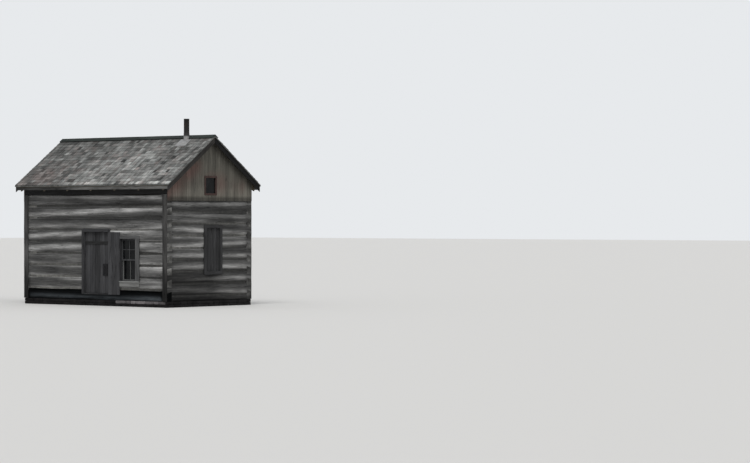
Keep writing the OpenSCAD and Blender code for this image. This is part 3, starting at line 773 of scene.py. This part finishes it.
def door():
    """The leaf of planks with nails and ledges, and a dark board across its outside that is painted shade"""
    whole = node_mesh("door_leaf")
    low, high = extent(whole)
    back = low.y + 0.040
    leaf = slab(whole, Y, low.y - 0.01, back)
    piece = Piece("door_leaf_planks", ["grey_z", "iron"], "door")
    places = [low.x, *steps(low.x, high.x, 0.20, 0.1), high.x]
    strap_low, strap_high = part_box("door_straps")
    from_edge = 0.05
    for left, right, (start, end) in zip(places, places[1:], plank_bounds(places, 0.006)):
        part = slab(leaf, X, start, end)
        shift = rng.uniform(0, 0.003)
        for v in part.verts:
            if v.co.y < back - 0.001:
                v.co.y += shift
        piece.add(part, any_tone(0.07))
        for z in (strap_low.z + 0.02, strap_high.z - 0.02):
            for x in (left + from_edge, right - from_edge):
                piece.add(nail((x, low.y + shift, z)), material=1)
    ledges = slab(whole, Y, back, high.y + 0.01)
    piece.add(ledges, 0.22)
    leaf.free()
    whole.free()
    piece.finish(["door_leaf"], bevel=0.003)

    # Painted shade: a dark board across the leaf, standing for the shadow under the door head
    foot, head = 1.79, 1.88
    shadow_board = Piece("door_shadow_board", ["dark_x"], "door")
    shadow_board.add(cuboid((low.x + 0.004, low.y - 0.016, foot), (high.x - 0.004, low.y + 0.004, head)), 0.16)
    shadow_board.finish(bevel=0.003)


def cuboid(low, high):
    """A box between two corners"""
    bm = bmesh.new()
    bmesh.ops.create_cube(bm, size=1)
    for v in bm.verts:
        v.co = Vector([high[i] if v.co[i] > 0 else low[i] for i in range(3)])
    return bm


def nail(place):
    """A flat nail head standing just proud of a board whose outside is at -Y"""
    radius, out = 0.006, 0.0025
    bm = bmesh.new()
    bmesh.ops.create_cone(bm, cap_ends=True, segments=7, radius1=radius, radius2=radius * 0.6, depth=2 * out)
    turn = Matrix.Rotation(math.radians(90), 4, "X")
    bmesh.ops.transform(bm, matrix=Matrix.Translation(place) @ turn, verts=bm.verts)
    return bm


door()


# The roof

ALONG = Vector((0, math.cos(PITCH), -math.sin(PITCH)))
OUT = Vector((0, math.sin(PITCH), math.cos(PITCH)))


def shingle_slope(node, side):
    """Split shingles in courses on a thin base, from the eave up to the ridge"""
    low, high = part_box(node)
    run = max(abs(low.y), abs(high.y))
    length = run / math.cos(PITCH)
    ridge = Vector((0, 0, high.z))
    down = Vector((0, side * ALONG.y, ALONG.z))
    out = Vector((0, side * OUT.y, OUT.z))
    thick = 0.040
    base_depth = 0.022
    gap = 0.004
    narrowest = 0.03
    flashing_reach = (0.16, 0.13)

    piece = Piece(node + "_split", ["shingle_front" if side < 0 else "shingle_rear"])
    base = node_mesh(node)
    for v in base.verts:
        depth = (ridge - v.co).dot(out)
        if depth < 0.5 * thick:
            v.co -= out * (base_depth - depth)
    piece.add(base, 0.16)

    courses = 17
    exposure = length / courses
    pipe = pipe_place() if side < 0 else None
    for row in range(courses):
        butt = length - row * exposure
        x = low.x + rng.uniform(-0.08, 0)
        while x < high.x:
            width = rng.uniform(0.09, 0.19)
            x0, x1 = max(low.x, x + gap / 2), min(high.x, x + width - gap / 2)
            x += width
            if x1 - x0 < narrowest:
                continue
            end = min(length, butt + rng.uniform(-0.016, 0.008))
            if row == 0:
                end = length - rng.uniform(0, 0.012)
            middle = ridge + down * (end - exposure / 2)
            place = ((x0 + x1) / 2, middle.y)
            if pipe and all(abs(place[i] - pipe[i]) < flashing_reach[i] for i in (X, Y)):
                continue
            thick_butt = rng.uniform(0.011, 0.018)
            tail = max(0.0, end - 1.9 * exposure)
            lift = [rng.uniform(0, 0.004) for _ in range(3)]
            tone, stain = shingle_look((x0, butt, side), butt / length, row == 0)
            made = shingle(ridge, down, out, (x0, x1), (tail, end), thick_butt, lift, thick)
            piece.add(made, tone, stain=stain)
    piece.finish([node], angle=30)


def shingle_look(place, share, lowest):
    """Tone and reddish stain of a shingle at a place, share of the slope below the ridge"""
    mottle = 0.13 * bumpy(place, (3.4, 4.2, 1), 11) + 0.05 * bumpy(place, (0.8, 0.9, 1), 5)
    bleach = (0.78 + 0.40 * smooth((place[0] + 2.6) / 3.2)) * (0.84 + 0.22 * smooth(share / 0.7))
    bleach *= 0.65 + 0.35 * smooth((share - 0.08) / 0.1)
    if lowest:
        bleach *= 1 + 0.6 * smooth((place[0] + 1.2) / 0.8)
    tone = max(0.07, (MEAN_TONE + rng.gauss(0, 0.068) + mottle) * bleach)
    reddish = rng.gauss(0.05, 0.22) + 0.7 * hill(place[0], -2.4, 0.8) * hill(share, 0.85, 0.25)
    return tone, max(0.0, min(1.0, reddish))


def shingle(ridge, down, out, across, along, butt, lift, thick):
    """One tapered shingle whose butt end curls up a little"""
    bm = bmesh.new()
    tail, end = along
    columns = 2
    top = []
    low = []
    skew = rng.uniform(-0.004, 0.004)
    under = 0.020 - thick
    for i in range(columns + 1):
        part = i / columns
        x = across[0] + (across[1] - across[0]) * part
        stop = end + skew * (part - 0.5) * 2
        curl = lift[i] * (1.0 if i != 1 else 0.2)
        # Tail, middle and butt: how far down the slope, then the heights of the upper and the lower face
        rows = ((tail, under + 0.001, under - 0.004),
                ((tail + end) / 2, under + 0.002 + 0.55 * butt, under - 0.002),
                (stop, min(-0.0005, under + 0.001 + butt + curl), under + 0.002 + 0.5 * curl))
        top.append([bm.verts.new(ridge + down * s + out * a + Vector((x, 0, 0))) for s, a, _ in rows])
        low.append([bm.verts.new(ridge + down * s + out * b + Vector((x, 0, 0))) for s, _, b in rows])
    for i in range(columns):
        for j in range(2):
            bm.faces.new((top[i][j], top[i][j + 1], top[i + 1][j + 1], top[i + 1][j]))
            bm.faces.new((low[i][j], low[i + 1][j], low[i + 1][j + 1], low[i][j + 1]))
        bm.faces.new((top[i][2], low[i][2], low[i + 1][2], top[i + 1][2]))
        bm.faces.new((top[i][0], top[i + 1][0], low[i + 1][0], low[i][0]))
    for i in (0, columns):
        for j in range(2):
            bm.faces.new((top[i][j], low[i][j], low[i][j + 1], top[i][j + 1]))
    bmesh.ops.recalc_face_normals(bm, faces=bm.faces[:])
    return bm


def pipe_place():
    """Where the middle of the stovepipe stands on the plan"""
    low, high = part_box("stove_pipe")
    return ((low.x + high.x) / 2, (low.y + high.y) / 2)


shingle_slope("front_shingles", -1)
shingle_slope("rear_shingles", 1)


# The footing

def footing():
    """Two courses of fieldstone round a dark bed"""
    low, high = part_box("footing")
    piece = Piece("footing_stones", ["stone", "mortar"])
    bed = node_mesh("footing")
    for v in bed.verts:
        for i in (X, Y):
            outer = low[i] if v.co[i] < 0 else high[i]
            if abs(v.co[i] - outer) < 0.001:
                v.co[i] -= math.copysign(0.03, v.co[i])
    piece.add(bed, material=1)
    joint = 0.085
    for along, sides in ((X, (low.y, high.y)), (Y, (low.x, high.x))):
        for outer in sides:
            for z0, z1 in ((0.0, joint), (joint, high.z)):
                at = low[along]
                while at < high[along] - 0.02:
                    width = min(rng.uniform(0.16, 0.42), high[along] - at)
                    if high[along] - at - width < 0.08:
                        width = high[along] - at
                    tone = stone_tone(along, at, outer, z0 > 0)
                    piece.add(stone(along, at, at + width, outer, z0, z1), tone)
                    at += width
    piece.finish(["footing"], angle=60)


def stone_tone(along, at, outer, upper):
    """Pale for some upper stones right of the door, nearly black for the rest of the two seen sides, which
    is damp stone and painted shade
    """
    if along == X and outer < 0 and upper and 0.6 < at < 2.8:
        tone = rng.uniform(0.3, 0.7)
    elif (along == X) == (outer < 0):
        # Nearly black: damp stone and painted shade
        tone = 0.04
    else:
        tone = 0.10
    return tone * rng.uniform(0.8, 1.2)


def stone(along, a, b, outer, z0, z1):
    """One rounded stone from a to b along a side of the footing, between two heights"""
    bm = bmesh.new()
    bmesh.ops.create_cube(bm, size=1)
    bmesh.ops.bevel(bm, geom=bm.edges[:], offset=0.16, segments=2, affect="EDGES", profile=0.6)
    depth = 0.07
    seed = rng.uniform(0, 80)
    for v in bm.verts:
        spread = 1 + 0.05 * bumpy(v.co, (2.3, 2.3, 2.3), seed)
        p = Vector([max(-0.5, min(0.5, c * spread)) for c in v.co])
        place = [0, 0, 0]
        place[along] = (a + b) / 2 + p.x * (b - a - 0.008)
        place[1 - along] = outer - math.copysign(depth / 2 - p.y * depth, outer)
        place[2] = (z0 + z1) / 2 + p.z * (z1 - z0 - 0.004)
        v.co = place
    return bm


footing()


# Metal

def stove_pipe():
    """The pipe in two lengths with a raised joint and a folded rim"""
    low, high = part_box("stove_pipe")
    x, y = pipe_place()
    radius = (high.x - low.x) / 2
    joint = 4.99
    sunk = radius - 0.002
    profile = []
    for start, end in ((low.z, joint), (joint, high.z)):
        profile += [(sunk, start + 0.001), (sunk, end - 0.012), (radius, end - 0.009), (radius, end - 0.003)]
    profile[-1] = (radius, high.z)
    inner = [(radius - 0.006, high.z), (radius - 0.006, low.z)]
    bm = bmesh.new()
    count = 40
    rings = []
    for r, z in profile + inner:
        rings.append([bm.verts.new((x + r * math.cos(k * math.tau / count),
                                    y + r * math.sin(k * math.tau / count), z)) for k in range(count)])
    for a, b in zip(rings, rings[1:] + rings[:1]):
        for k in range(count):
            bm.faces.new((a[k], a[(k + 1) % count], b[(k + 1) % count], b[k]))
    piece = Piece("stove_pipe_lengths", ["iron"])
    piece.add(bm)
    piece.finish(["stove_pipe"], angle=50)


stove_pipe()

# CAD nodes whose shape is right as it is
for name, material in [
    ("pipe_flashing", "sheet"), ("door_straps", "iron"), ("door_pintles", "iron"),
    ("window_glass", "glass"), ("attic_window_glass", "glass"), ("floor_joists", "timber_y"),
    ("loft_joists", "timber_y"), ("front_rafters", "timber_front"), ("rear_rafters", "timber_rear"),
    ("gable_studs", "timber_y"), ("door_latch", "latch"),
]:
    node = NODES[name]
    node.data.materials.clear()
    node.data.materials.append(M[material])
    values = node.data.attributes.new("tone", "FLOAT", "POINT")
    values.data.foreach_set("value", [MEAN_TONE] * len(node.data.vertices))


# Floor, light and camera

def studio_floor():
    """A wide pale floor under the house"""
    size = 200
    corners = [(-size, -size, 0), (size, -size, 0), (size, size, 0), (-size, size, 0)]
    floor = bpy.data.meshes.new("studio_floor")
    floor.from_pydata(corners, [], [(0, 1, 2, 3)])
    floor_object = bpy.data.objects.new("studio_floor", floor)
    bpy.context.scene.collection.objects.link(floor_object)
    material, shader = shade_nodes("studio_floor")[:2]
    shader.inputs["Base Color"].default_value = (0.62, 0.61, 0.59, 1)
    shader.inputs["Roughness"].default_value = 0.95
    floor.materials.append(material)


def studio_world():
    """Even soft light, with a pale backdrop where the camera, a reflection or glass looks at it"""
    world = bpy.data.worlds.new("studio")
    bpy.context.scene.world = world
    world.use_nodes = True
    tree = world.node_tree
    light = tree.nodes["Background"]
    light.inputs["Color"].default_value = (0.90, 0.92, 0.95, 1)
    light.inputs["Strength"].default_value = 0.60
    backdrop = tree.nodes.new("ShaderNodeBackground")
    backdrop.inputs["Color"].default_value = (0.80, 0.82, 0.84, 1)
    rays = tree.nodes.new("ShaderNodeLightPath")
    seen = rays.outputs["Is Camera Ray"]
    for ray in ("Is Glossy Ray", "Is Transmission Ray"):
        either = tree.nodes.new("ShaderNodeMath")
        either.operation = "MAXIMUM"
        tree.links.new(seen, either.inputs[0])
        tree.links.new(rays.outputs[ray], either.inputs[1])
        seen = either.outputs[0]
    choice = tree.nodes.new("ShaderNodeMixShader")
    tree.links.new(seen, choice.inputs[0])
    tree.links.new(light.outputs[0], choice.inputs[1])
    tree.links.new(backdrop.outputs[0], choice.inputs[2])
    tree.links.new(choice.outputs[0], tree.nodes["World Output"].inputs[0])


def studio_lamp(name, direction, angle, strength):
    """A soft distant light from a direction, as wide as the angle in degrees"""
    lamp = bpy.data.lights.new(name, "SUN")
    lamp.angle = math.radians(angle)
    lamp.energy = strength
    item = bpy.data.objects.new(name, lamp)
    bpy.context.scene.collection.objects.link(item)
    item.location = Vector(direction) * 10
    item.rotation_euler = Vector(direction).to_track_quat("Z", "Y").to_euler()


def studio_camera():
    """The photo's distant view with a long lens"""
    lens = bpy.data.cameras.new("camera")
    lens.lens = 124.8
    lens.sensor_width = 36
    lens.clip_end = 500
    camera = bpy.data.objects.new("camera", lens)
    camera.location = (55.25, -54.48, 2.55)
    camera.rotation_euler = (math.radians(90 - 0.29), 0, math.radians(40.17))
    bpy.context.scene.collection.objects.link(camera)
    bpy.context.scene.camera = camera


studio_floor()
studio_world()
studio_lamp("key", (0.35, -0.60, 0.95), 35, 1.7)
studio_lamp("fill", (0.95, -0.10, 0.60), 50, 0.5)
studio_camera()
bpy.context.scene.view_settings.view_transform = "Standard"
